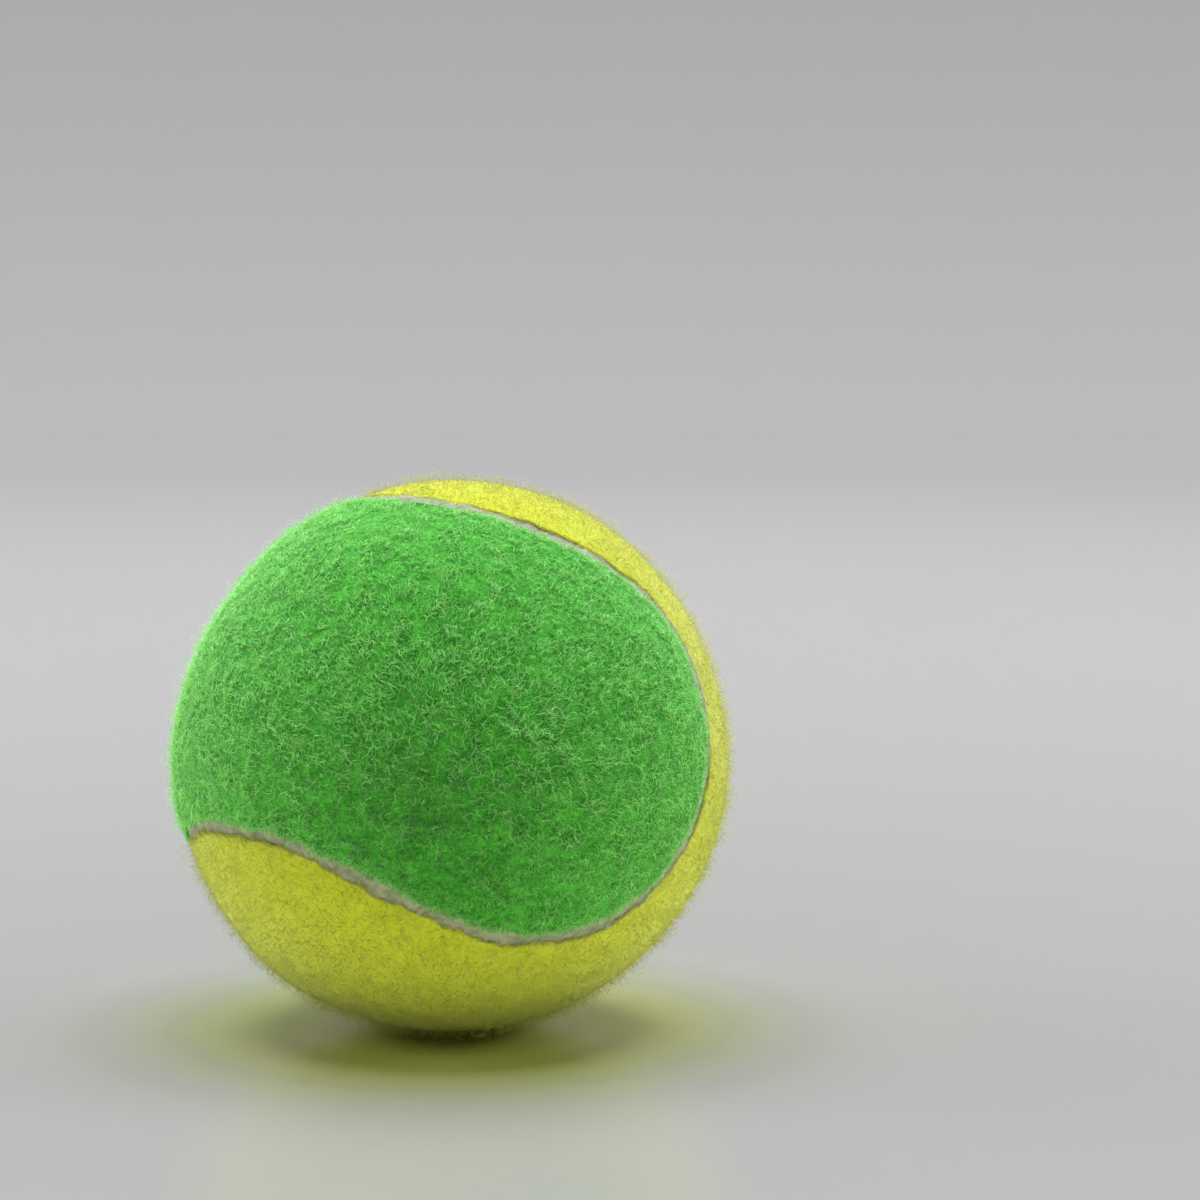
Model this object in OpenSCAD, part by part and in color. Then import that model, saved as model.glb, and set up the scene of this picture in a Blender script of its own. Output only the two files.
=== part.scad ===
// A felt-covered tennis ball, built up in layers as the real one is.
// Two moulded rubber half shells are cemented into a hollow core. Two identical
// dumbbell panels of cloth, each with a raised felt nap, are glued over it, and a
// strip of cement fills the one endless seam between them.
// The ball stands on z = 0, on the small flat that its weight has pressed into the nap.

/* [Ball] */
// Outer diameter over the felt nap
ball_d = 66; // [60:0.5:70]
// Depth of nap that is pressed flat where the ball stands
rest_depth = 0.5; // [0.2:0.1:0.7]

/* [Cover] */
// Depth of the felt nap above its cloth
felt_t = 2.5; // [2:0.1:4]
// Thickness of the woven cloth that carries the nap
cloth_t = 0.6; // [0.3:0.1:1]

/* [Core] */
// Thickness of the rubber solution that the core is dipped in
coat_t = 0.2; // [0.1:0.05:0.4]
// Wall of the moulded rubber core
core_wall = 3; // [2:0.1:5]
// Thickness of the cement between the two core halves
joint_t = 0.2; // [0.1:0.05:0.4]
// Radius of the bead of cement squeezed out inside the core
bead_r = 0.7; // [0.4:0.1:1.5]

/* [Seam] */
// Width of the cement strip between the two panels
seam_w = 2; // [1:0.1:3]
// Depth of the strip below the top of the nap
seam_depth = 0.8; // [0.3:0.1:1.5]
// Width of the sloping shoulder of nap on each side of the strip
shoulder_w = 0.8; // [0.2:0.1:1.5]
// Share of the seam's third harmonic, which draws in the waist of each panel
waist_share = 0.17; // [0.14:0.01:0.2]
// Share of the fifth harmonic, which squares up the round ends of each panel
lobe_share = -0.05; // [-0.06:0.01:0.02]
// Share of the sixth harmonic, which flattens the long sides of the seam
side_share = -0.035; // [-0.06:0.005:0.02]

/* [Lie] */
// Turn of the cover about X, applied first, in degrees
lie_x_angle = -139.5; // [-180:0.5:180]
// Turn of the cover about Y, applied second, in degrees
lie_y_angle = -50; // [-180:0.5:180]
// Turn of the cover about Z, applied last, in degrees
lie_z_angle = -35; // [-180:0.5:180]

/* [Hidden] */
$fn = 96;

// How far a cut reaches past what it cuts
overrun = 1.5;

// Radii of the layers, from the nap inwards
ball_r = ball_d / 2;
cloth_r = ball_r - felt_t;
coat_r = cloth_r - cloth_t;
core_r = coat_r - coat_t;
hollow_r = core_r - core_wall;
seam_r = ball_r - seam_depth;
cap_r = ball_r + overrun;

// Facets of the circles that cut the section of the core's joint, where a coarse one shows
section_fn = 384;

// Height of the ball's centre above what it stands on
centre_z = ball_r - rest_depth;

// Tangential reach of a panel's edge from the middle of the seam, at the strip and at the cap
strip_reach = seam_w / 2;
cap_reach = strip_reach + shoulder_w * (cap_r - seam_r) / (ball_r - seam_r);

// Stations along half of a panel's edge, and divisions of each rung across it
stations = 48;
rung_parts = 8;
ring = 2 * stations;

// Angle on each side of a station over which the seam's direction is taken
step_angle = 0.5;

// The seam runs round this curve as t goes through a full turn. Its panel round +Z has its
// waist there, and the tips of its two lobes lie at t = -45 and t = 135 degrees.
tip_angle = -45;

function unit(v) = v / norm(v);

function seam_point(t) =
    let (
        round_share = 1 - waist_share,
        rise = 2 * sqrt(round_share * waist_share)
    )
    unit([
        round_share * cos(t) + waist_share * cos(3 * t) + lobe_share * cos(5 * t),
        round_share * sin(t) - waist_share * sin(3 * t) + lobe_share * sin(5 * t),
        rise * sin(2 * t) + side_share * sin(6 * t)
    ]);

// Direction along the ball, square to the seam, from the seam into the panel round +Z
function into_panel(t) =
    unit(cross(seam_point(t), seam_point(t + step_angle) - seam_point(t - step_angle)));

// Point at radius r that lies reach away from the seam, measured square to it
function edge_point(t, r, at_r, reach) = r * unit(at_r * seam_point(t) + reach * into_panel(t));

function ring_angle(j) = tip_angle + 360 * j / ring;

// Index of point k of rung i, which runs across the panel from ring point i to its mirror image
function cap_index(i, k) =
    i == 0 ? 1 + ring
    : i == stations ? 1 + ring + stations
    : k == 0 ? 1 + ring + i
    : k == rung_parts ? 1 + ring + ring - i
    : 1 + 2 * ring + (i - 1) * (rung_parts - 1) + k - 1;

// A cone from the ball's centre through the edge of the panel round +Z. Its walls are
// radial up to the top of the cement strip and slope back above it.
module sector() {
    strip = [for (j = [0 : ring - 1]) edge_point(ring_angle(j), seam_r, seam_r, strip_reach)];
    rim = [for (j = [0 : ring - 1]) edge_point(ring_angle(j), cap_r, cap_r, cap_reach)];
    inner = [
        for (i = [1 : stations - 1], k = [1 : rung_parts - 1])
            cap_r * unit(rim[i] + (rim[ring - i] - rim[i]) * k / rung_parts)
    ];
    radial_walls = [for (j = [0 : ring - 1]) [0, 1 + j, 1 + (j + 1) % ring]];
    sloping_walls = [
        for (j = [0 : ring - 1], side = [0, 1])
            let (a = 1 + j, b = 1 + (j + 1) % ring)
            side == 0 ? [a, a + ring, b + ring] : [a, b + ring, b]
    ];
    cap = [
        for (i = [0 : stations - 1], k = [0 : rung_parts - 1], side = [0, 1])
            let (
                a = cap_index(i, k),
                b = cap_index(i, k + 1),
                c = cap_index(i + 1, k + 1),
                d = cap_index(i + 1, k)
            )
            if (side == 0 ? i > 0 : i < stations - 1) side == 0 ? [a, b, c] : [a, c, d]
    ];
    polyhedron(
        points = concat([[0, 0, 0]], strip, rim, inner),
        faces = concat(radial_walls, sloping_walls, cap),
        convexity = 4
    );
}

// A band along the whole seam, as wide as the cement strip, with the same radial walls as
// the panels that it parts
module seam_band() {
    corners = [
        for (j = [0 : ring - 1], c = [0 : 3])
            edge_point(
                ring_angle(j),
                c < 2 ? core_r : cap_r,
                seam_r,
                c == 0 || c == 3 ? strip_reach : -strip_reach
            )
    ];
    faces = [
        for (j = [0 : ring - 1], c = [0 : 3], half = [0, 1])
            let (
                d = (c + 1) % 4,
                next = (j + 1) % ring
            )
            half == 0 ? [4 * j + c, 4 * j + d, 4 * next + d] : [4 * j + c, 4 * next + d, 4 * next + c]
    ];
    polyhedron(points = corners, faces = faces, convexity = 6);
}

// Turns the cover to its lie on the ball
module lie() rotate([lie_x_angle, lie_y_angle, lie_z_angle]) children();

// The green panel is the yellow one turned over, so that it fills the rest of the ball
module turned_over() rotate([180, 0, 0]) children();

module layer(outer_r, inner_r) {
    difference() {
        sphere(r = outer_r);
        sphere(r = inner_r);
    }
}

// A layer with the poles of its spheres on X, clear of the flat underneath
module cover_layer(outer_r, inner_r) rotate([0, 90, 0]) layer(outer_r, inner_r);

// Lifts a piece of the cover to its height and presses it flat on the ground
module pressed() {
    difference() {
        translate([0, 0, centre_z]) children();
        translate([-cap_r, -cap_r, -cap_r]) cube([2 * cap_r, 2 * cap_r, cap_r]);
    }
}

module half_space() translate([-cap_r, -cap_r, joint_t / 2]) cube([2 * cap_r, 2 * cap_r, cap_r]);

module upper_half() {
    intersection() {
        layer(core_r, hollow_r);
        half_space();
    }
}

module core_half_upper() color("#3b3b3d") translate([0, 0, centre_z]) upper_half();

module core_half_lower() color("#444446") translate([0, 0, centre_z]) mirror([0, 0, 1]) upper_half();

// Half section of the cement between the rims, with the bead that squeezes out inside them
module joint_profile() {
    intersection() {
        translate([hollow_r - bead_r / 2, -joint_t / 2]) square([core_wall + bead_r, joint_t]);
        circle(r = core_r, $fn = section_fn);
    }
    intersection() {
        translate([hollow_r, 0]) circle(r = bead_r);
        circle(r = hollow_r, $fn = section_fn);
    }
}

module core_joint_cement() {
    color("#c9b98a") translate([0, 0, centre_z]) rotate_extrude() joint_profile();
}

module core_cement_coat() color("#a89c78") translate([0, 0, centre_z]) layer(coat_r, core_r);

module green_backing_cloth() {
    color("#cfd8b8") pressed() intersection() {
        cover_layer(cloth_r, coat_r);
        lie() turned_over() sector();
    }
}

module yellow_backing_cloth() {
    color("#e6e2b4") pressed() intersection() {
        cover_layer(cloth_r, coat_r);
        lie() sector();
    }
}

module green_felt() {
    color("#4fa642") pressed() intersection() {
        cover_layer(ball_r, cloth_r);
        lie() turned_over() sector();
    }
}

module yellow_felt() {
    color("#d5dc4f") pressed() intersection() {
        cover_layer(ball_r, cloth_r);
        lie() sector();
    }
}

module seam_cement() {
    color("#8f9384") pressed() intersection() {
        cover_layer(seam_r, coat_r);
        lie() seam_band();
    }
}

core_half_upper();
core_half_lower();
core_joint_cement();
core_cement_coat();
green_backing_cloth();
yellow_backing_cloth();
green_felt();
yellow_felt();
seam_cement();
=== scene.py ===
"""A green and yellow tennis ball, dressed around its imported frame.

The felt of both panels, its curly nap, its loose hairs and the cement of the seam are
meshes made here. The core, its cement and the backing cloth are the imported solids.
"""
import math
from typing import NamedTuple

import bpy
import numpy as np
from mathutils import Euler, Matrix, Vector
from mathutils.kdtree import KDTree


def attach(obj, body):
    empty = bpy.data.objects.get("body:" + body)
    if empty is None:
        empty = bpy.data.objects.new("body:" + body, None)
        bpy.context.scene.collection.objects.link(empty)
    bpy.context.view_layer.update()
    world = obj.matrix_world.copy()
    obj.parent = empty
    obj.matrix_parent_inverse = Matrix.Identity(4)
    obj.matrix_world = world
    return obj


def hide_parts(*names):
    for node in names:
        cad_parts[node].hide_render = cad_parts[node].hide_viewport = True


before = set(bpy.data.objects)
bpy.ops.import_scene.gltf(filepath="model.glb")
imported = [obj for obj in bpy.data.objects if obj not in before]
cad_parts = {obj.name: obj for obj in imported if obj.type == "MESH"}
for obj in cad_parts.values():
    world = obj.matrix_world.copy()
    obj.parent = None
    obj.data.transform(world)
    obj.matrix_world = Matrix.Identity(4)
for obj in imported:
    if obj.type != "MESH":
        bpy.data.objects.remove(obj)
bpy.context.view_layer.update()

MM = 0.001
SEED = 7

# Keeps the length of a direction from being zero
TINY = 1e-9

# The ball, in metres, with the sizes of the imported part
BALL_R = 33.0 * MM
REST_DEPTH = 0.5 * MM
CLOTH_R = 30.5 * MM
CENTRE = np.array([0.0, 0.0, BALL_R - REST_DEPTH])

# The seam's course and the cover's lie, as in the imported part
WAIST_SHARE = 0.17
LOBE_SHARE = -0.05
SIDE_SHARE = -0.035
LIE_DEGREES = (-139.5, -50.0, -35.0)
LIE = np.array(Euler([math.radians(a) for a in LIE_DEGREES], "XYZ").to_matrix())
PANEL_TURN = {"yellow": np.diag([1.0, 1.0, 1.0]), "green": np.diag([1.0, -1.0, -1.0])}
TIP_ANGLE = -math.pi / 4
DOWN = np.array([0.0, 0.0, -1.0])

# What the angles of two points of the seam add up to when they face each other across a panel
FACING_SUM = -math.pi / 2

# The photograph's frame: the ball's middle and rim in its pixels, and its lens
FRAME_PX = 1200
BALL_PX = (452.1, 755.7)
RIM_PX = 279.0
FOCAL_PX = 3800.0
HORIZON_PX = 190.0
SENSOR_MM = 36.0


class Waves(NamedTuple):
    """Smooth unevenness: its height, how far apart its bumps are, its seed and its detail."""
    height: float
    size: float
    seed: int
    detail: int = 40


# How far the sizes of the bumps spread, and how many waves are summed at a time
WAVE_SPREAD = (0.6, 1.4)
WAVE_BLOCK = 8

# How many samples the seam has for distances to it, and how many distances are found at a time
SEAM_SAMPLES = 1800
DISTANCE_BLOCK = 20000

# How the felt's edge wanders across the strip. Each panel's edge wanders in its own way, as it
# is sampled at another place.
EDGE_WAVES = [Waves(0.168 * MM, 7 * MM, SEED + 1), Waves(0.112 * MM, 1.8 * MM, SEED + 2)]
EDGE_SHIFT = {"yellow": 0.0, "green": 1.0}

# The strip of cement in the seam: its top, its half width, how far it tucks under the felt, how
# much lower its edges are, how rough it is and its mesh
STRIP_R = 32.22 * MM
STRIP_HALF = 0.85 * MM
STRIP_TUCK = 0.35 * MM
STRIP_CROWN = 0.08 * MM
STRIP_CROWN_POWER = 4
STRIP_ROUGH = [Waves(0.045 * MM, 0.9 * MM, SEED + 6, 64), Waves(0.04 * MM, 3.5 * MM, SEED + 7)]
STRIP_ROWS = 1500
STRIP_ACROSS = 15

# The felt's ground under its nap: how deep it lies, how it rounds off at the seam and its lumps
GROUND_DEPTH = 0.4 * MM
SHOULDER_W = 0.4 * MM
SHOULDER_H = 0.15 * MM
PILLOW_DEPTH = 0.35 * MM
PILLOW_REACH = 5.0 * MM
LUMPS = [Waves(0.12 * MM, 22 * MM, SEED + 3, 24)]
TUFTS_ON_GROUND = [Waves(0.04 * MM, 0.6 * MM, SEED + 5, 64)]

# Where the nap is thick, from about -1 to 1, and how much higher the ground is there
THICKETS = [Waves(0.75, 1.5 * MM, SEED + 4, 64), Waves(0.45, 3.6 * MM, SEED + 30, 32)]
THICKET_HEIGHT = 0.035 * MM

# Where the ball's outline swells or flattens in the photograph: the angle round its rim
# from the right and up, the height and the reach
RIM_SWELLS = [
    (145, -0.6 * MM, 7 * MM),
    (163, -0.35 * MM, 6 * MM),
    (192, 0.6 * MM, 8 * MM),
    (232, 0.6 * MM, 7 * MM),
    (296, -0.4 * MM, 11 * MM),
]

# The felt's mesh: rungs along each panel, points across each rung, the share by which these
# crowd towards its ends, and points across its underside
RUNGS = 540
RUNG_SAMPLES = 4001
ACROSS = 172
CROWDING_SHARE = 0.38
INNER_ACROSS = 12

# How far the felt and its fibres stay above what the ball stands on
FELT_CLEARANCE = 0.02 * MM
FIBRE_CLEARANCE = 0.01 * MM

# The tufts of the nap: how many the ball has, how far they are shifted as a share of the room
# that each has, how far their roots spread and how much lower or higher they are than usual
TUFT_COUNT = 12000
TUFT_SHIFT_SHARE = 0.35
TUFT_SPREAD = 0.42 * MM
TUFT_HEIGHT_SHARES = (0.6, 1.4)
TUFT_PLACE_SEED = SEED + 8
TUFT_HEIGHT_SEED = SEED + 9

# Every fibre: how deep it is rooted, how much and how often it wiggles, the part of an arch that
# it rises through, how it is drawn to its tuft, how much thinner it gets and its section's corners
ROOT_DEPTH = 0.08 * MM
WIGGLE = 0.9
WIGGLE_TURNS = 1.3
ARCH_SHARES = (0.45, 0.95)
PULL_SHARES = (0.4, 1.0)
PULL_POWER = 1.5
TAPER_SHARE = 0.45
CORNER_DEGREES = (90, 210, 330)

# How many fibres a piece has at most
PIECE_FIBRES = 8800

# How many places are tried for each root, and the shares of them that are kept where the nap is
# as thick as usual and where it is barest
TRIES = 3.6
KEPT_SHARE = 0.75
BARE_SHARE = 0.1

# How neighbouring fibres share their direction
SWIRL = 5 * MM
SWIRL_SEED = SEED + 20
SWIRL_DETAIL = 24

# The nap of both panels: how far from the felt's edge it starts, how much shorter it is there,
# its rise, its curl, how far it strays from its neighbours' direction and how bare it can be
NAP_MARGIN = 0.05 * MM
NAP_EDGE_SHARE = 0.7
NAP_EDGE_REACH = 1.0 * MM
NAP_RISE = (0.1 * MM, 0.5 * MM)
NAP_CURL = (0.4, 3.6)
NAP_STRAY = 0.9
NAP_BARENESS = 0.4

# The tints of the nap, painted darker towards the roots as shade deep in the nap: the height of the
# lightest, and how they vary with thickets (lighter where the nap is thick and darker in its gaps, partly
# mottle and partly painted shade) and at random
NAP_TOP = 0.55 * MM
THICKET_TINT = 0.08
TINT_SPREAD = 0.14


class Teased(NamedTuple):
    """How one panel's felt is teased.

    The number of its nap's fibres, the segments of each, how deep the nap is, the length and
    thickness of its fibres, the share of them that root in tufts, how far they are drawn to
    these, how lumpy the ground is, how strong its material's bump is, the number of fine hairs
    that stand off it and the scale of the fringe at the seam.
    """
    fibres: int
    segments: int
    depth: float
    length: tuple
    thick: tuple
    tufted_share: float
    pull: float
    lumpy: float
    bump: float
    fine_hairs: int
    fringe: float


TEASED = {
    "green": Teased(
        fibres=52000, segments=4, depth=1.0, length=(0.9 * MM, 1.9 * MM), thick=(0.024 * MM, 0.038 * MM),
        tufted_share=0.6, pull=0.5, lumpy=1.0, bump=0.5, fine_hairs=24000, fringe=1.0,
    ),
    "yellow": Teased(
        fibres=70000, segments=3, depth=0.13, length=(0.5 * MM, 1.0 * MM), thick=(0.013 * MM, 0.019 * MM),
        tufted_share=0.1, pull=0.1, lumpy=0.25, bump=0.2, fine_hairs=14000, fringe=0.65,
    ),
}
COAT_SEEDS = {"green": SEED + 11, "yellow": SEED + 12}


class Hairs(NamedTuple):
    """A kind of loose hair.

    Its least distance from the felt's edge, its segments, its length, the shares of this that it
    reaches along the ball and away from it, its curl, how far it strays from its neighbours'
    direction and its thickness.
    """
    margin: float
    segments: int
    length: tuple
    along_share: float
    rise_shares: tuple
    curl: tuple
    stray: float
    thick: tuple


FINE_HAIRS = Hairs(
    margin=0.2 * MM, segments=4, length=(0.7 * MM, 1.6 * MM), along_share=0.4, rise_shares=(0.5, 0.95),
    curl=(0.2, 2.6), stray=1.5, thick=(0.011 * MM, 0.016 * MM),
)
LONG_HAIRS = Hairs(
    margin=0.4 * MM, segments=7, length=(1.8 * MM, 3.8 * MM), along_share=1.0, rise_shares=(0.15, 0.55),
    curl=(0.5, 4.5), stray=1.5, thick=(0.012 * MM, 0.019 * MM),
)

# How many long hairs a panel has, how many more are tried round the ball's foot and how far they
# spread from it, as a share of the ball's radius
LONG_COUNT = 2200
FOOT_COUNT = 1500
FOOT_SPREAD_SHARE = 0.3

# The fringe at the seam: how many hairs are tried on each panel, their segments, how far back
# they root, how far aside, their length, rise, curl, straying and thickness
FRINGE_COUNT = 10000
FRINGE_SEGMENTS = 4
FRINGE_BACK = (0.2 * MM, 0.9 * MM)
FRINGE_ASIDE = 0.3 * MM
FRINGE_LENGTH = (0.6 * MM, 1.5 * MM)
FRINGE_RISE = (0.03 * MM, 0.3 * MM)
FRINGE_CURL = (0.2, 2.2)
FRINGE_STRAY = 0.7
FRINGE_THICK = (0.014 * MM, 0.026 * MM)

# Painted shade at the middle of the ball's face, where the nap is darkest in the photograph: its place,
# its reach and how far it darkens the nap's tints
PAINTED_SHADE_AT = (-0.02, -1.0, -0.08)
PAINTED_SHADE_REACH = 13 * MM
PAINTED_SHADE_LEVEL = 0.54


def unit(v):
    return v / np.linalg.norm(v, axis=-1, keepdims=True)


def seam_point(t):
    """Points of the seam's middle line on the unit ball, in the cover's own axes."""
    t = np.asarray(t, float)
    round_share = 1 - WAIST_SHARE
    rise = 2 * math.sqrt(round_share * WAIST_SHARE)
    x = round_share * np.cos(t) + WAIST_SHARE * np.cos(3 * t) + LOBE_SHARE * np.cos(5 * t)
    y = round_share * np.sin(t) - WAIST_SHARE * np.sin(3 * t) + LOBE_SHARE * np.sin(5 * t)
    z = rise * np.sin(2 * t) + SIDE_SHARE * np.sin(6 * t)
    return unit(np.stack([x, y, z], -1))


def into_panel(t, step=0.01):
    """Directions along the ball from the seam into the panel round +Z."""
    along = seam_point(np.asarray(t) + step) - seam_point(np.asarray(t) - step)
    return unit(np.cross(seam_point(t), along))


def uneven(points, layers):
    """Smooth random values at these points: the sum of the layers' waves."""
    total = np.zeros(len(points))
    for height, size, seed, detail in layers:
        rng = np.random.default_rng(seed)
        direction = unit(rng.normal(size=(detail, 3)))
        pitch = 2 * math.pi / size * rng.uniform(*WAVE_SPREAD, (detail, 1))
        phase = rng.uniform(0, 2 * math.pi, detail)
        scale = height / math.sqrt(detail / 2)
        for k in range(0, detail, WAVE_BLOCK):
            block = slice(k, k + WAVE_BLOCK)
            turn = points @ (direction[block] * pitch[block]).T + phase[block]
            total += scale * np.cos(turn).sum(1)
    return total


# Dense samples of the seam, in the ball's own axes as it lies, for distances to it
SEAM_T = np.linspace(0, 2 * math.pi, SEAM_SAMPLES, endpoint=False)
SEAM_POINTS = seam_point(SEAM_T) @ LIE.T
SEAM_SIDES = into_panel(SEAM_T) @ LIE.T

# How far each panel's edge is from the middle of the seam at these samples
SEAM_REACH = {
    colour: STRIP_HALF + uneven((SEAM_POINTS + shift) * BALL_R, EDGE_WAVES)
    for colour, shift in EDGE_SHIFT.items()
}


def seam_distance(directions):
    """Distance along the ball from each direction to the felt's edge, and whether it is on yellow."""
    distance = np.empty(len(directions))
    yellow = np.empty(len(directions), bool)
    for k in range(0, len(directions), DISTANCE_BLOCK):
        block = slice(k, k + DISTANCE_BLOCK)
        part = directions[block]
        dots = part @ SEAM_POINTS.T
        near = dots.argmax(1)
        away = np.arccos(np.clip(dots[np.arange(len(part)), near], -1, 1)) * BALL_R
        on_yellow = (SEAM_SIDES[near] * (part - SEAM_POINTS[near])).sum(1) > 0
        reach = np.where(on_yellow, SEAM_REACH["yellow"][near], SEAM_REACH["green"][near])
        distance[block] = away - reach
        yellow[block] = on_yellow
    return distance, yellow


def swells(directions):
    """The height of the swells and flats that the photograph shows at the ball's rim."""
    total = np.zeros(len(directions))
    for angle, height, reach in RIM_SWELLS:
        a = math.radians(angle)
        at = np.array([math.cos(a), 0.0, math.sin(a)])
        away = np.linalg.norm(directions - at, axis=1) * BALL_R
        total += height * np.exp(-(away / reach) ** 2)
    return total


def painted_shade(directions):
    """How much painted shade darkens the nap at each direction, up to 1 at the middle of the ball's face.
    """
    away = np.linalg.norm(directions - unit(np.array(PAINTED_SHADE_AT)), axis=1) * BALL_R
    return np.exp(-(away / PAINTED_SHADE_REACH) ** 2)


def thickets(directions):
    """Where the nap is thick and where it leaves gaps, from about -1 to 1."""
    return uneven(directions * BALL_R, THICKETS)


def felt_radius(directions, distance, colour):
    """Radius of the felt's surface: a plump, lumpy pad that rounds off at the seam."""
    at = directions * BALL_R
    inside = np.clip(distance, 0, None)
    pillow = PILLOW_DEPTH * np.exp(-inside / PILLOW_REACH)
    x = np.clip(1 - inside / SHOULDER_W, 0, 1)
    shoulder = SHOULDER_H * (1 - np.sqrt(np.clip(1 - x * x, 0, 1)))
    rough = THICKET_HEIGHT * thickets(directions) + uneven(at, TUFTS_ON_GROUND)
    lumps = uneven(at, LUMPS) + TEASED[colour].lumpy * rough + swells(directions)
    return BALL_R - GROUND_DEPTH - pillow - shoulder + lumps


def grounded(points, clearance):
    """The points, with none lower than clearance above what the ball stands on."""
    points = points.copy()
    points[..., 2] = np.maximum(points[..., 2], clearance)
    return points


def new_mesh(name, points, faces, smooth=None):
    """An object from an array of points and a list of equal-sided face arrays.

    It is smooth all over, or only where smooth says so for each face.
    """
    mesh = bpy.data.meshes.new(name)
    mesh.vertices.add(len(points))
    mesh.vertices.foreach_set("co", np.ascontiguousarray(points, np.float32).ravel())
    corners = np.concatenate([f.ravel() for f in faces]).astype(np.int32)
    sizes = np.concatenate([np.full(len(f), f.shape[1], np.int32) for f in faces])
    starts = np.concatenate([[0], np.cumsum(sizes)[:-1]]).astype(np.int32)
    mesh.loops.add(len(corners))
    mesh.loops.foreach_set("vertex_index", corners)
    mesh.polygons.add(len(sizes))
    mesh.polygons.foreach_set("loop_start", starts)
    mesh.polygons.foreach_set("use_smooth", np.full(len(sizes), True) if smooth is None else smooth)
    mesh.update(calc_edges=True)
    mesh.validate()
    piece = bpy.data.objects.new(name, mesh)
    bpy.context.scene.collection.objects.link(piece)
    return piece


def grid_quads(rows, size, closed):
    """Quads between loops of size points, which join up end to end if closed."""
    i, k = np.meshgrid(np.arange(rows if closed else rows - 1), np.arange(size), indexing="ij")
    i, k = i.ravel(), k.ravel()
    j, following = (i + 1) % rows, (k + 1) % size
    return np.stack([i * size + k, i * size + following, j * size + following, j * size + k], -1), k


def rung_ends(colour):
    """The two edge points of each rung of a panel, from the tip of one lobe to the other."""
    dense = np.linspace(0, 1, RUNG_SAMPLES)
    t = TIP_ANGLE + math.pi * dense
    middle = unit(seam_point(t) + seam_point(FACING_SUM - t))
    swept = np.concatenate([[0], np.cumsum(np.linalg.norm(np.diff(middle, axis=0), axis=1))])
    even = (dense + swept / swept[-1]) / 2
    t = TIP_ANGLE + math.pi * np.interp(np.linspace(0, 1, RUNGS + 1)[1:-1], even, dense)
    to_ball = (LIE @ PANEL_TURN[colour]).T
    ends = []
    for side_t in (t, FACING_SUM - t):
        point, side = seam_point(side_t) @ to_ball, into_panel(side_t) @ to_ball
        near = (point @ SEAM_POINTS.T).argmax(1)
        reach = SEAM_REACH[colour][near][:, None]
        ends.append(unit(point * BALL_R + side * reach))
    return ends


def felt_panel(colour):
    """One panel's felt as a closed pad: a fine top, walls down to the cloth and a plain underside."""
    left, right = rung_ends(colour)
    rows = len(left)
    x = np.linspace(-1, 1, ACROSS)
    crowded = (1 - CROWDING_SHARE) * x + CROWDING_SHARE * np.sin(math.pi * x / 2)
    share = (crowded + 1) / 2
    angle = np.arccos(np.clip((left * right).sum(1), -1, 1))
    a, b = np.sin((1 - share) * angle[:, None]), np.sin(share * angle[:, None])
    top = unit(a[..., None] * left[:, None] + b[..., None] * right[:, None])
    flat = top.reshape(-1, 3)
    distance, _ = seam_distance(flat)
    radius = felt_radius(flat, distance, colour)
    outer = (flat * radius[:, None]).reshape(rows, ACROSS, 3)
    under_share = np.linspace(0, 1, INNER_ACROSS)[1:-1]
    under = unit(left[:, None] + (right - left)[:, None] * under_share[None, ::-1, None])
    under = np.concatenate([right[:, None], under, left[:, None]], 1) * CLOTH_R
    loop = np.concatenate([outer, under], 1) + CENTRE
    size = loop.shape[1]
    points = grounded(loop, FELT_CLEARANCE).reshape(-1, 3)
    quads, k = grid_quads(rows, size, closed=False)
    first = np.arange(size)[None, ::-1]
    last = (rows - 1) * size + np.arange(size)[None, :]
    smooth = np.concatenate([k < ACROSS - 1, [False, False]])
    return new_mesh(f"{colour}_felt_pad", points, [quads, first, last], smooth)


def seam_strip():
    """The cement in the seam: one endless, slightly crowned band with a rough, wandering top."""
    t = np.linspace(0, 2 * math.pi, STRIP_ROWS, endpoint=False)
    point, side = seam_point(t) @ LIE.T, into_panel(t) @ LIE.T
    near = (point @ SEAM_POINTS.T).argmax(1)
    to_yellow = SEAM_REACH["yellow"][near] + STRIP_TUCK
    to_green = SEAM_REACH["green"][near] + STRIP_TUCK
    share = np.linspace(0, 1, STRIP_ACROSS)
    offset = -to_green[:, None] + (to_yellow + to_green)[:, None] * share
    top = unit(point[:, None] * BALL_R + side[:, None] * offset[..., None])
    rough = uneven(top.reshape(-1, 3) * BALL_R, STRIP_ROUGH).reshape(STRIP_ROWS, STRIP_ACROSS)
    crown = STRIP_CROWN * np.abs(2 * share - 1) ** STRIP_CROWN_POWER
    outer = top * (STRIP_R + rough - crown)[..., None]
    under = np.stack([top[:, -1], top[:, 0]], 1) * CLOTH_R
    loop = np.concatenate([outer, under], 1) + CENTRE
    quads, k = grid_quads(STRIP_ROWS, loop.shape[1], closed=True)
    return new_mesh("seam_strip", loop.reshape(-1, 3), [quads], k < STRIP_ACROSS - 1)


def tuft_places():
    """Directions of the tufts, spread evenly over the ball and then shifted about."""
    k = np.arange(TUFT_COUNT) + 0.5
    z = 1 - 2 * k / TUFT_COUNT
    turn = math.pi * (1 + math.sqrt(5)) * k
    r = np.sqrt(1 - z * z)
    even = np.stack([r * np.cos(turn), r * np.sin(turn), z], -1)
    apart = math.sqrt(4 * math.pi / TUFT_COUNT)
    shift = np.random.default_rng(TUFT_PLACE_SEED).normal(size=(TUFT_COUNT, 3))
    return unit(even + shift * TUFT_SHIFT_SHARE * apart)


TUFTS = tuft_places()
TUFT_HEIGHTS = np.random.default_rng(TUFT_HEIGHT_SEED).uniform(*TUFT_HEIGHT_SHARES, TUFT_COUNT)


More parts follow.
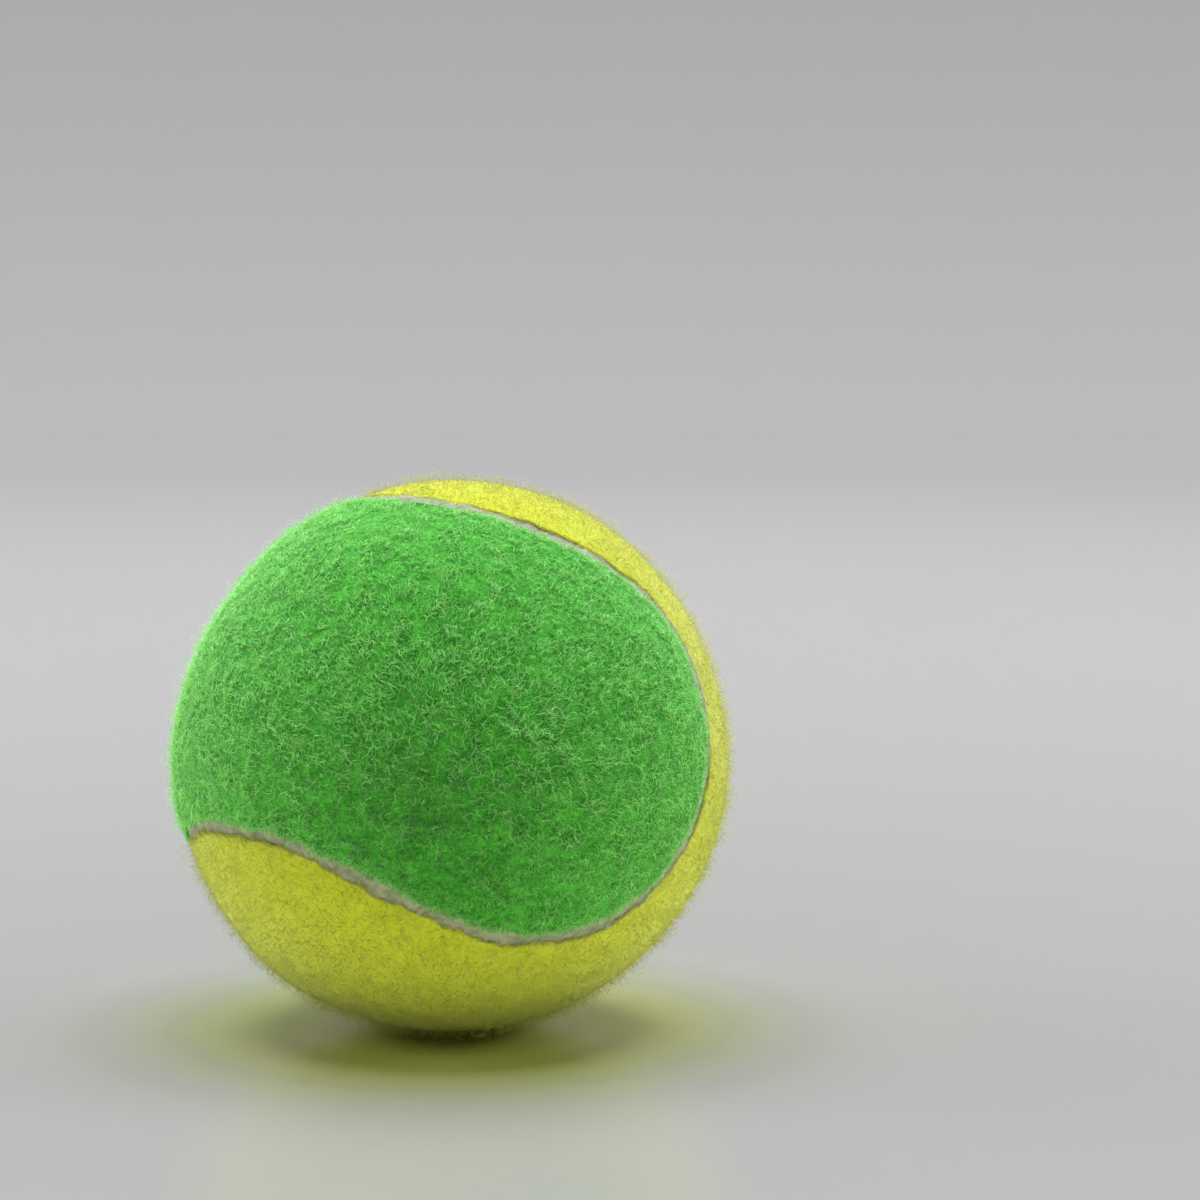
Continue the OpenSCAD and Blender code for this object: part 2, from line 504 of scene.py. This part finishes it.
def tuft_of(directions):
    """The nearest tuft of each direction."""
    tree = KDTree(TUFT_COUNT)
    for k, place in enumerate(TUFTS):
        tree.insert(place, k)
    tree.balance()
    return np.array([tree.find(d)[1] for d in directions])


def tangent(directions, vectors):
    """The part of each vector that lies along the ball, as a unit vector."""
    return unit(vectors - directions * (directions * vectors).sum(-1, keepdims=True))


def swirl(directions, stray, rng):
    """Wandering directions along the ball that neighbouring fibres share, give or take a stray part."""
    at = directions * BALL_R
    axes = [[Waves(1.0, SWIRL, SWIRL_SEED + k, SWIRL_DETAIL)] for k in range(3)]
    field = np.stack([uneven(at, axis) for axis in axes], -1)
    return tangent(directions, unit(field) + stray * rng.normal(size=directions.shape))


def fibre_paths(roots, radius, segments, lean, length, rise, curl, rng, pull=0.0, sunk=ROOT_DEPTH):
    """Curly paths from just under the felt at the roots, with their heights above it."""
    count = len(roots)
    steps = np.linspace(0, 1, segments + 1)
    across = np.cross(roots, lean)
    bend = rng.uniform(*curl, count)[:, None] * rng.choice([-1, 1], count)[:, None]
    wiggle = rng.uniform(0, WIGGLE, count)[:, None]
    phase = rng.uniform(0, 2 * math.pi, count)[:, None]
    heading = bend * steps + wiggle * np.sin(2 * math.pi * WIGGLE_TURNS * steps + phase)
    stride = (length / segments)[:, None]
    zero = np.zeros((count, 1))
    ahead = np.concatenate([zero, np.cumsum(np.cos(heading[:, :-1]) * stride, 1)], 1)
    aside = np.concatenate([zero, np.cumsum(np.sin(heading[:, :-1]) * stride, 1)], 1)
    flat = roots[:, None] * BALL_R + lean[:, None] * ahead[..., None] + across[:, None] * aside[..., None]
    if pull:
        goal = TUFTS[tuft_of(roots)] * BALL_R
        share = (pull * rng.uniform(*PULL_SHARES, count))[:, None] * steps ** PULL_POWER
        flat += share[..., None] * (goal - roots * BALL_R)[:, None]
    arch = rng.uniform(*ARCH_SHARES, count)[:, None]
    height = rise[:, None] * np.sin(math.pi * arch * steps) - sunk
    return unit(flat) * (radius[:, None] + height)[..., None] + CENTRE, height


def tube_faces(rings):
    """The side quads of one three-sided tube, and the triangles of its point and of its root."""
    ring = np.arange(rings - 2)[:, None] * 3
    k = np.arange(3)
    following = (k + 1) % 3
    quads = np.stack([ring + k, ring + following, ring + 3 + following, ring + 3 + k], -1)
    last = (rings - 2) * 3
    tip = np.full(3, last + 3)
    point = np.stack([last + k, last + following, tip], -1)
    return quads.reshape(-1, 4), np.concatenate([point, [[2, 1, 0]]])


def fibre_mesh(name, paths, thickness, tint):
    """A piece of closed three-sided tubes along the paths, which taper to a point.

    Each segment of a tube has a tint of its own, so that a fibre can be dark at its root, as painted shade
    deep in the nap.
    """
    count, rings = paths.shape[0], paths.shape[1]
    along = unit(np.gradient(paths, axis=1))
    out = unit(paths - CENTRE)
    side = unit(np.cross(along, out) + TINY)
    up = np.cross(side, along)
    steps = np.linspace(0, 1, rings)
    girth = thickness[:, None] * (1 - TAPER_SHARE * steps ** 2)
    corners = []
    for turn in CORNER_DEGREES:
        a = math.radians(turn)
        corners.append(paths + girth[..., None] * (math.cos(a) * side + math.sin(a) * up))
    body = np.stack([c[:, :-1] for c in corners], 2).reshape(count, -1, 3)
    points = grounded(np.concatenate([body, paths[:, -1:]], 1), FIBRE_CLEARANCE)
    quads, triangles = tube_faces(rings)
    base = (np.arange(count) * points.shape[1])[:, None, None]
    faces = [(quads + base).reshape(-1, 4), (triangles + base).reshape(-1, 3)]
    piece = new_mesh(name, points.reshape(-1, 3), faces)
    of_quads = np.repeat(tint[:, :-1], 3, axis=1)
    of_ends = np.concatenate([np.repeat(tint[:, -1:], 3, axis=1), tint[:, :1]], 1)
    index = np.concatenate([of_quads.ravel(), of_ends.ravel()])
    piece.data.polygons.foreach_set("material_index", index.astype(np.int32))
    return piece


def on_panel(colour, directions, margin):
    """Which of the directions lie on the felt of this panel, with their distance to its edge."""
    distance, yellow = seam_distance(directions)
    return (distance > margin) & (yellow == (colour == "yellow")), distance


def scattered(colour, count, margin, rng, tufted_share=0.0, bareness=0.0):
    """Random roots on one panel's felt, some of them round tufts, in order from lobe to lobe."""
    tries = int(count * TRIES)
    loose = rng.normal(size=(tries, 3))
    gathered = TUFTS[rng.integers(TUFT_COUNT, size=tries)]
    gathered = gathered + rng.normal(size=(tries, 3)) * TUFT_SPREAD / BALL_R
    directions = unit(np.where(rng.random((tries, 1)) < tufted_share, gathered, loose))
    if bareness:
        likely = np.clip(KEPT_SHARE + bareness * thickets(directions), BARE_SHARE, 1)
        directions = directions[rng.random(tries) < likely]
    keep, distance = on_panel(colour, directions, margin)
    directions, distance = directions[keep][:count], distance[keep][:count]
    own = directions @ (LIE @ PANEL_TURN[colour])
    order = np.argsort(np.arctan2(own[:, 0] - own[:, 1], own[:, 2] * math.sqrt(2)))
    return directions[order], distance[order]


def in_pieces(name, paths, thickness, tint):
    """The fibres as meshes of up to PIECE_FIBRES each."""
    count = len(paths)
    parts = np.array_split(np.arange(count), math.ceil(count / PIECE_FIBRES))
    return [fibre_mesh(f"{name}_{n + 1}", paths[p], thickness[p], tint[p]) for n, p in enumerate(parts)]


def nap(colour, tints, rng):
    """The curly, tufted nap of one panel, with painted shade: dark at its roots deep in the nap, light at
    its tips, and darker at the middle of the ball's face.
    """
    teased = TEASED[colour]
    bareness = NAP_BARENESS * teased.lumpy
    roots, distance = scattered(colour, teased.fibres, NAP_MARGIN, rng, teased.tufted_share, bareness)
    count = len(roots)
    inwards = NAP_EDGE_SHARE + (1 - NAP_EDGE_SHARE) * distance / NAP_EDGE_REACH
    near_edge = np.clip(inwards, NAP_EDGE_SHARE, 1)
    length = rng.uniform(*teased.length, count) * near_edge
    rise = rng.uniform(*NAP_RISE, count) * teased.depth * near_edge * TUFT_HEIGHTS[tuft_of(roots)]
    radius = felt_radius(roots, distance, colour)
    lean = swirl(roots, NAP_STRAY, rng)
    sunk = ROOT_DEPTH * teased.depth
    paths, height = fibre_paths(
        roots, radius, teased.segments, lean, length, rise, NAP_CURL, rng, teased.pull, sunk
    )
    # Painted shade: a segment's tint is darker the lower it lies in the nap, darker in the gaps between
    # thickets and darker at the middle of the ball's face
    above_root = (height[:, 1:] + height[:, :-1]) / 2 + sunk
    level = above_root / (NAP_TOP * teased.depth) + THICKET_TINT * thickets(roots)[:, None]
    level += rng.normal(size=(count, 1)) * TINT_SPREAD - PAINTED_SHADE_LEVEL * painted_shade(roots)[:, None]
    tint = np.clip((level * len(tints)).astype(int), 0, len(tints) - 1)
    return in_pieces(f"{colour}_nap", paths, rng.uniform(*teased.thick, count), tint)


def loose_hairs(name, colour, kind, roots, distance, tints, rng):
    """Hairs of this kind at the roots, in the second lightest tint."""
    count = len(roots)
    length = rng.uniform(*kind.length, count)
    rise = length * rng.uniform(*kind.rise_shares, count)
    lean = swirl(roots, kind.stray, rng)
    radius = felt_radius(roots, distance, colour)
    along = length * kind.along_share
    paths, _ = fibre_paths(roots, radius, kind.segments, lean, along, rise, kind.curl, rng)
    tint = np.full((count, kind.segments), len(tints) - 2)
    return in_pieces(f"{colour}_{name}", paths, rng.uniform(*kind.thick, count), tint)


def down(colour, tints, rng):
    """Fine short hairs that stand off the nap and soften its outline."""
    roots, distance = scattered(colour, TEASED[colour].fine_hairs, FINE_HAIRS.margin, rng)
    return loose_hairs("down", colour, FINE_HAIRS, roots, distance, tints, rng)


def strays(colour, tints, rng):
    """Long loose hairs that curl away from the ball, with more of them round its foot."""
    roots, distance = scattered(colour, LONG_COUNT, LONG_HAIRS.margin, rng)
    foot = unit(rng.normal(size=(FOOT_COUNT, 3)) * FOOT_SPREAD_SHARE + DOWN)
    keep, foot_distance = on_panel(colour, foot, LONG_HAIRS.margin)
    roots = np.concatenate([roots, foot[keep]])
    distance = np.concatenate([distance, foot_distance[keep]])
    return loose_hairs("strays", colour, LONG_HAIRS, roots, distance, tints, rng)


def fringe(colour, tints, rng):
    """Short hairs along the edge of the felt, which lean out over the cement of the seam."""
    scale = TEASED[colour].fringe
    k = rng.integers(len(SEAM_T), size=FRINGE_COUNT)
    sign = 1 if colour == "yellow" else -1
    inwards = sign * SEAM_SIDES[k]
    back = SEAM_REACH[colour][k] + rng.uniform(*FRINGE_BACK, FRINGE_COUNT) * scale
    aside = rng.uniform(-FRINGE_ASIDE, FRINGE_ASIDE, (FRINGE_COUNT, 1))
    along = np.cross(SEAM_POINTS[k], inwards) * aside
    roots = unit(SEAM_POINTS[k] * BALL_R + inwards * back[:, None] + along)
    keep, distance = on_panel(colour, roots, 0.0)
    roots, distance, inwards = roots[keep], distance[keep], inwards[keep]
    count = len(roots)
    lean = tangent(roots, -inwards + FRINGE_STRAY * rng.normal(size=(count, 3)))
    length = rng.uniform(*FRINGE_LENGTH, count) * scale
    rise = rng.uniform(*FRINGE_RISE, count) * scale
    radius = felt_radius(roots, distance, colour)
    paths, _ = fibre_paths(roots, radius, FRINGE_SEGMENTS, lean, length, rise, FRINGE_CURL, rng)
    order = np.argsort(k[keep])
    tint = rng.integers(1, len(tints), (count, 1)) * np.ones((1, FRINGE_SEGMENTS), int)
    return in_pieces(f"{colour}_fringe", paths[order], rng.uniform(*FRINGE_THICK, count), tint)


def coat(colour, tints):
    """All the fibres of one panel."""
    rng = np.random.default_rng(COAT_SEEDS[colour])
    pieces = nap(colour, tints, rng) + down(colour, tints, rng)
    return pieces + strays(colour, tints, rng) + fringe(colour, tints, rng)


class Nodes:
    """Adds nodes to one material and links them."""

    def __init__(self, name):
        self.material = bpy.data.materials.new(name)
        self.material.use_nodes = True
        self.tree = self.material.node_tree
        self.shader = self.tree.nodes["Principled BSDF"]
        self.shader.inputs["Metallic"].default_value = 0.0
        place = self.tree.nodes.new("ShaderNodeTexCoord")
        self.place = place.outputs["Object"]

    def noise(self, scale, detail=4.0, rough=0.6):
        node = self.tree.nodes.new("ShaderNodeTexNoise")
        node.inputs["Scale"].default_value = scale
        node.inputs["Detail"].default_value = detail
        node.inputs["Roughness"].default_value = rough
        self.tree.links.new(self.place, node.inputs["Vector"])
        return node.outputs["Fac"]

    def axis(self, name):
        """One coordinate of the place."""
        node = self.tree.nodes.new("ShaderNodeSeparateXYZ")
        self.tree.links.new(self.place, node.inputs[0])
        return node.outputs[name]

    def scaled(self, value, low, high):
        """The value as a share of the way from low to high."""
        node = self.tree.nodes.new("ShaderNodeMapRange")
        node.inputs["From Min"].default_value = low
        node.inputs["From Max"].default_value = high
        self.tree.links.new(value, node.inputs["Value"])
        return node.outputs["Result"]

    def length(self, vector):
        node = self.tree.nodes.new("ShaderNodeVectorMath")
        node.operation = "LENGTH"
        self.tree.links.new(vector, node.inputs[0])
        return node.outputs["Value"]

    def ramp(self, factor, stops):
        node = self.tree.nodes.new("ShaderNodeValToRGB")
        band = node.color_ramp
        while len(band.elements) < len(stops):
            band.elements.new(0.5)
        for element, (at, colour) in zip(band.elements, stops):
            element.position = at
            element.color = (*colour, 1.0)
        self.tree.links.new(factor, node.inputs["Fac"])
        return node.outputs["Color"]

    def mixed(self, factor, a, b, mode="MIX"):
        node = self.tree.nodes.new("ShaderNodeMix")
        node.data_type = "RGBA"
        node.blend_type = mode
        if isinstance(factor, float):
            node.inputs[0].default_value = factor
        else:
            self.tree.links.new(factor, node.inputs[0])
        self.tree.links.new(a, node.inputs[6])
        self.tree.links.new(b, node.inputs[7])
        return node.outputs[2]

    def bump(self, height, strength, distance):
        node = self.tree.nodes.new("ShaderNodeBump")
        node.inputs["Strength"].default_value = strength
        node.inputs["Distance"].default_value = distance
        self.tree.links.new(height, node.inputs["Height"])
        self.tree.links.new(node.outputs["Normal"], self.shader.inputs["Normal"])

    def seen_by_camera(self):
        """1 where the camera sees the piece, also in a reflection, and 0 where the piece lights others."""
        path = self.tree.nodes.new("ShaderNodeLightPath")
        either = self.tree.nodes.new("ShaderNodeMath")
        either.operation = "MAXIMUM"
        self.tree.links.new(path.outputs["Is Camera Ray"], either.inputs[0])
        self.tree.links.new(path.outputs["Is Glossy Ray"], either.inputs[1])
        return either.outputs[0]

    def finish(self, colour=None, rough=0.9, sheen=0.0, specular=0.2):
        if colour is not None:
            self.tree.links.new(colour, self.shader.inputs["Base Color"])
        self.shader.inputs["Roughness"].default_value = rough
        self.shader.inputs["Specular IOR Level"].default_value = specular
        self.shader.inputs["Sheen Weight"].default_value = sheen
        self.shader.inputs["Sheen Roughness"].default_value = 0.5
        return self.material


def linear(red, green, blue):
    """A colour given in display values from 0 to 255, as the shader's own values."""
    values = []
    for v in (red, green, blue):
        v /= 255
        values.append(v / 12.92 if v <= 0.04045 else ((v + 0.055) / 1.055) ** 2.4)
    return tuple(values)


def grey(level):
    return (level, level, level)


BLACK = grey(0.0)
WHITE = grey(1.0)

# The colours of the felt's ground: deep, middle and light. The deep one is its own darker tone in the
# clumps, and painted shade in the low spots of its fine bump
GROUNDS = {
    "green": [linear(32, 114, 23), linear(54, 148, 37), linear(78, 178, 54)],
    "yellow": [linear(167, 174, 24), linear(174, 181, 31), linear(180, 186, 42)],
}

# The tints of the fibres, from the roots to the tips, darker towards the roots as painted shade deep in
# the nap
TINTS = {
    "green": [
        linear(60, 156, 46), linear(98, 196, 74), linear(135, 223, 107), linear(151, 233, 123),
        linear(164, 239, 137),
    ],
    "yellow": [
        linear(168, 173, 24), linear(173, 178, 35), linear(178, 182, 49), linear(184, 187, 74),
        linear(191, 194, 106),
    ],
}

# The cement of the seam, the rubber of the core, the cement on it and the threads of the cloth
STRIP_STOPS = [(0.3, linear(113, 118, 98)), (0.5, linear(133, 136, 116)), (0.7, linear(154, 154, 136))]
RUBBER_STOPS = [(0.35, linear(52, 52, 54)), (0.65, linear(70, 70, 72))]
CEMENT_STOPS = [(0.35, linear(150, 136, 100)), (0.65, linear(190, 176, 138))]
THREAD_STOPS = [(0.3, linear(190, 188, 150)), (0.7, linear(222, 220, 186))]

# How far apart the threads are, and how many bands the wave texture has in a metre at scale 1
THREAD_PITCH = 0.6 * MM
BANDS_PER_METRE = 3.2

# The paper as it is seen, by its distance from the ball's foot as a share of its reach: painted light,
# which makes it paler with distance, darkest near the ball and palest on the wall
PAPER_REACH = 1.6
PAPER_PAINTED_LIGHT_STOPS = [
    (0.04, linear(136, 136, 136)), (0.1, linear(142, 142, 142)), (0.56, linear(177, 177, 179)),
    (0.75, linear(209, 209, 211)), (0.87, linear(215, 215, 217)), (1.0, linear(217, 217, 219)),
]

# Painted bounce light that multiplies it close under the ball, where the yellow felt casts its colour on
# it: it lightens and yellows the shadow there
PAINTED_BOUNCE_REACH = 60 * MM
PAINTED_BOUNCE_STOPS = [
    (0.12, (1.9, 2.0, 0.3)), (0.3, (2.3, 2.42, 0.65)), (0.42, (1.85, 1.95, 0.78)),
    (0.55, (1.22, 1.28, 0.86)), (0.7, (1.02, 1.04, 0.95)), (0.9, (1.0, 1.0, 1.0)),
]

# The paper as what it lights sees it: the floor's colour up to a small height, which fades
# towards the camera, and the wall's, which fades in from there to behind the ball
BOUNCE_COLOUR = (0.98, 1.0, 0.76)
BOUNCE_HEIGHT = 0.1
NEAR_Y = (-0.5, -0.05)
NEAR_LEVEL = 0.2
WALL_Y = (-1.2, 0.8)
WALL_LEVEL = 0.2

# The floor, the bend up to the wall, the wall above it and the points round them
FLOOR_R = 1.1
FLOOR_RINGS = (0.3, 0.7)
BEND_R = 0.7
BEND_STEPS = 16
WALL_H = 0.5
FLOOR_AROUND = 96


class Lamp(NamedTuple):
    """A round soft light: its place, its width, its power in watts and the angle of its shade."""
    place: tuple
    size: float
    power: float
    spread: float


# The side lights are shaded, so that they don't glare on the floor under them
LAMPS = {
    "top_light": Lamp((0.0, 0.13, 1.1), 1.2, 32.3, 180.0),
    "left_light": Lamp((-1.0, 0.2, 0.32), 0.55, 1.25, 90.0),
    "right_light": Lamp((1.0, 0.2, 0.32), 0.55, 1.4, 90.0),
}

# The strength of the light from all round, and the nearest that the camera sees
WORLD_STRENGTH = 0.06
CAMERA_CLIP = 10 * MM


def felt_material(name, ground, bump):
    """Matted felt under the nap: mottled in clumps, and darker where its fine bump is low, as painted
    shade in the gaps between the tufts.
    """
    deep, middle, light = ground
    n = Nodes(name)
    fine = n.noise(scale=2600, rough=0.65)
    broad = n.noise(scale=420, detail=2.0, rough=0.5)
    # Painted shade: the fine noise that makes the bump also darkens the ground where the bump is low
    tufts = n.ramp(fine, [(0.36, deep), (0.5, middle), (0.66, light)])
    clumps = n.ramp(broad, [(0.38, deep), (0.62, light)])
    n.bump(fine, strength=bump, distance=0.12 * MM)
    return n.finish(n.mixed(0.4, tufts, clumps), rough=0.95, sheen=0.25)


def fibre_material(name, colour):
    n = Nodes(name)
    n.shader.inputs["Base Color"].default_value = (*colour, 1.0)
    return n.finish(rough=0.8, sheen=0.35)


def rough_material(name, stops, scale, bump, rough):
    """Dull cement or rubber, mottled by one noise and roughened by a finer one."""
    n = Nodes(name)
    n.bump(n.noise(scale * 4), strength=bump, distance=0.1 * MM)
    return n.finish(n.ramp(n.noise(scale), stops), rough)


def cloth_material(name, stops):
    """Plain woven cloth with crossed threads."""
    n = Nodes(name)
    bands = []
    for direction in ("X", "Z"):
        node = n.tree.nodes.new("ShaderNodeTexWave")
        node.bands_direction = direction
        node.inputs["Scale"].default_value = 1 / THREAD_PITCH / BANDS_PER_METRE
        node.inputs["Distortion"].default_value = 0.6
        n.tree.links.new(n.place, node.inputs["Vector"])
        bands.append(node.outputs["Fac"])
    weave = n.mixed(0.5, bands[0], bands[1])
    n.bump(weave, strength=0.6, distance=0.1 * MM)
    return n.finish(n.ramp(weave, stops))


def paper_material():
    """Satin paper. What it lights sees it paler on the floor, and darker on the wall. What the camera sees
    carries painted light: it gets paler with distance from the ball's foot, and close under the ball it is
    lit with painted bounce light from the yellow felt.
    """
    n = Nodes("floor_paper")
    away = n.length(n.place)
    # Painted light: the seen paper gets paler with distance from the ball's foot
    pale = n.ramp(n.scaled(away, 0, PAPER_REACH), PAPER_PAINTED_LIGHT_STOPS)
    # Painted bounce light: yellow light from the felt, painted on the paper close under the ball
    painted_bounce = n.ramp(n.scaled(away, 0, PAINTED_BOUNCE_REACH), PAINTED_BOUNCE_STOPS)
    seen = n.mixed(1.0, pale, painted_bounce, "MULTIPLY")
    wall = n.ramp(n.scaled(n.axis("Y"), *WALL_Y), [(0.0, BLACK), (1.0, grey(WALL_LEVEL))])
    floor = n.ramp(n.scaled(n.axis("Z"), 0, BOUNCE_HEIGHT), [(0.0, BOUNCE_COLOUR), (1.0, BLACK)])
    nearby = n.ramp(n.scaled(n.axis("Y"), *NEAR_Y), [(0.0, grey(NEAR_LEVEL)), (1.0, WHITE)])
    lit = n.mixed(1.0, wall, n.mixed(1.0, floor, nearby, "MULTIPLY"), "LIGHTEN")
    return n.finish(n.mixed(n.seen_by_camera(), lit, seen), rough=0.27, specular=0.5)


def dress(piece, *materials):
    piece.data.materials.clear()
    for m in materials:
        piece.data.materials.append(m)
    return piece


def dress_fibres(piece, materials):
    """Gives a piece its tints and keeps which face has which."""
    index = np.empty(len(piece.data.polygons), np.int32)
    piece.data.polygons.foreach_get("material_index", index)
    dress(piece, *materials)
    piece.data.polygons.foreach_set("material_index", index)
    return piece


def repaint(node, material):
    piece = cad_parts[node]
    for s in piece.material_slots:
        s.material = material


def build_felt(colour):
    """One panel's felt and all its fibres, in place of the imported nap."""
    tints = TINTS[colour]
    ground = felt_material(f"{colour}_felt_ground", GROUNDS[colour], TEASED[colour].bump)
    pad = dress(felt_panel(colour), ground)
    fibres = [fibre_material(f"{colour}_fibre_{k + 1}", c) for k, c in enumerate(tints)]
    for piece in [pad] + [dress_fibres(p, fibres) for p in coat(colour, tints)]:
        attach(piece, "root")
        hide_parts(f"{colour}_felt")


def build_seam():
    """The strip of cement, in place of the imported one."""
    cement = rough_material("seam_cement_grey", STRIP_STOPS, scale=700, bump=0.8, rough=0.9)
    strip = dress(seam_strip(), cement)
    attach(strip, "root")
    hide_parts("seam_cement")


def dress_inside():
    """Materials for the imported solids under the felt."""
    rubber = rough_material("core_rubber_grey", RUBBER_STOPS, scale=300, bump=0.3, rough=0.85)
    cement = rough_material("core_cement_tan", CEMENT_STOPS, scale=250, bump=0.5, rough=0.6)
    cloth = cloth_material("backing_cloth_weave", THREAD_STOPS)
    repaint("core_half_upper", rubber)
    repaint("core_half_lower", rubber)
    repaint("core_joint_cement", cement)
    repaint("core_cement_coat", cement)
    repaint("green_backing_cloth", cloth)
    repaint("yellow_backing_cloth", cloth)


def build_stage():
    """A pale floor that curves up into a wall all round, so that no horizon shows."""
    bend = np.linspace(0, math.pi / 2, BEND_STEPS)
    profile = [(r, 0.0) for r in FLOOR_RINGS]
    profile += [(FLOOR_R + BEND_R * math.sin(a), BEND_R * (1 - math.cos(a))) for a in bend]
    profile += [(FLOOR_R + BEND_R, BEND_R + WALL_H)]
    angle = np.linspace(0, 2 * math.pi, FLOOR_AROUND, endpoint=False)
    points = [(0.0, 0.0, 0.0)]
    for r, z in profile:
        points += [(r * math.cos(a), r * math.sin(a), z) for a in angle]
    faces = []
    for k in range(FLOOR_AROUND):
        faces.append((0, 1 + k, 1 + (k + 1) % FLOOR_AROUND))
    for row in range(len(profile) - 1):
        inner = 1 + row * FLOOR_AROUND
        outer = inner + FLOOR_AROUND
        for k in range(FLOOR_AROUND):
            j = (k + 1) % FLOOR_AROUND
            faces.append((inner + k, outer + k, outer + j, inner + j))
    mesh = bpy.data.meshes.new("floor")
    mesh.from_pydata(points, [], faces)
    for p in mesh.polygons:
        p.use_smooth = True
    floor = bpy.data.objects.new("floor", mesh)
    bpy.context.scene.collection.objects.link(floor)
    dress(floor, paper_material())


def soft_light(name, lamp):
    """A lamp that faces the ball and shows neither in the picture nor in reflections."""
    data = bpy.data.lights.new(name, "AREA")
    data.shape = "DISK"
    data.size = lamp.size
    data.energy = lamp.power
    data.spread = math.radians(lamp.spread)
    light = bpy.data.objects.new(name, data)
    light.location = lamp.place
    light.rotation_euler = (Vector(CENTRE) - light.location).to_track_quat("-Z", "Y").to_euler()
    light.visible_camera = False
    light.visible_glossy = False
    bpy.context.scene.collection.objects.link(light)


def build_lights():
    for name, lamp in LAMPS.items():
        soft_light(name, lamp)
    world = bpy.data.worlds.new("soft_room")
    world.use_nodes = True
    background = world.node_tree.nodes["Background"]
    background.inputs["Color"].default_value = (1.0, 1.0, 1.0, 1.0)
    background.inputs["Strength"].default_value = WORLD_STRENGTH
    bpy.context.scene.world = world


def build_camera():
    """The camera stands where the photograph's did, worked out from the ball's place in its frame."""
    half = FRAME_PX / 2
    pitch = math.atan((half - HORIZON_PX) / FOCAL_PX)
    right = np.array([1.0, 0.0, 0.0])
    down_frame = np.array([0.0, -math.sin(pitch), -math.cos(pitch)])
    ahead = np.array([0.0, math.cos(pitch), -math.sin(pitch)])
    aside, below = BALL_PX[0] - half, BALL_PX[1] - half
    slant = math.hypot(aside, below, FOCAL_PX)
    sight = (aside * right + below * down_frame + FOCAL_PX * ahead) / slant
    distance = BALL_R / math.sin(math.atan(RIM_PX / slant))
    data = bpy.data.cameras.new("camera")
    data.sensor_width = SENSOR_MM
    data.lens = FOCAL_PX / FRAME_PX * SENSOR_MM
    data.clip_start = CAMERA_CLIP
    camera = bpy.data.objects.new("camera", data)
    camera.location = CENTRE - distance * sight
    camera.rotation_euler = (math.pi / 2 - pitch, 0.0, 0.0)
    bpy.context.scene.collection.objects.link(camera)
    bpy.context.scene.camera = camera


build_camera()
build_felt("green")
build_felt("yellow")
build_seam()
dress_inside()
build_stage()
build_lights()
bpy.context.scene.view_settings.view_transform = "Standard"
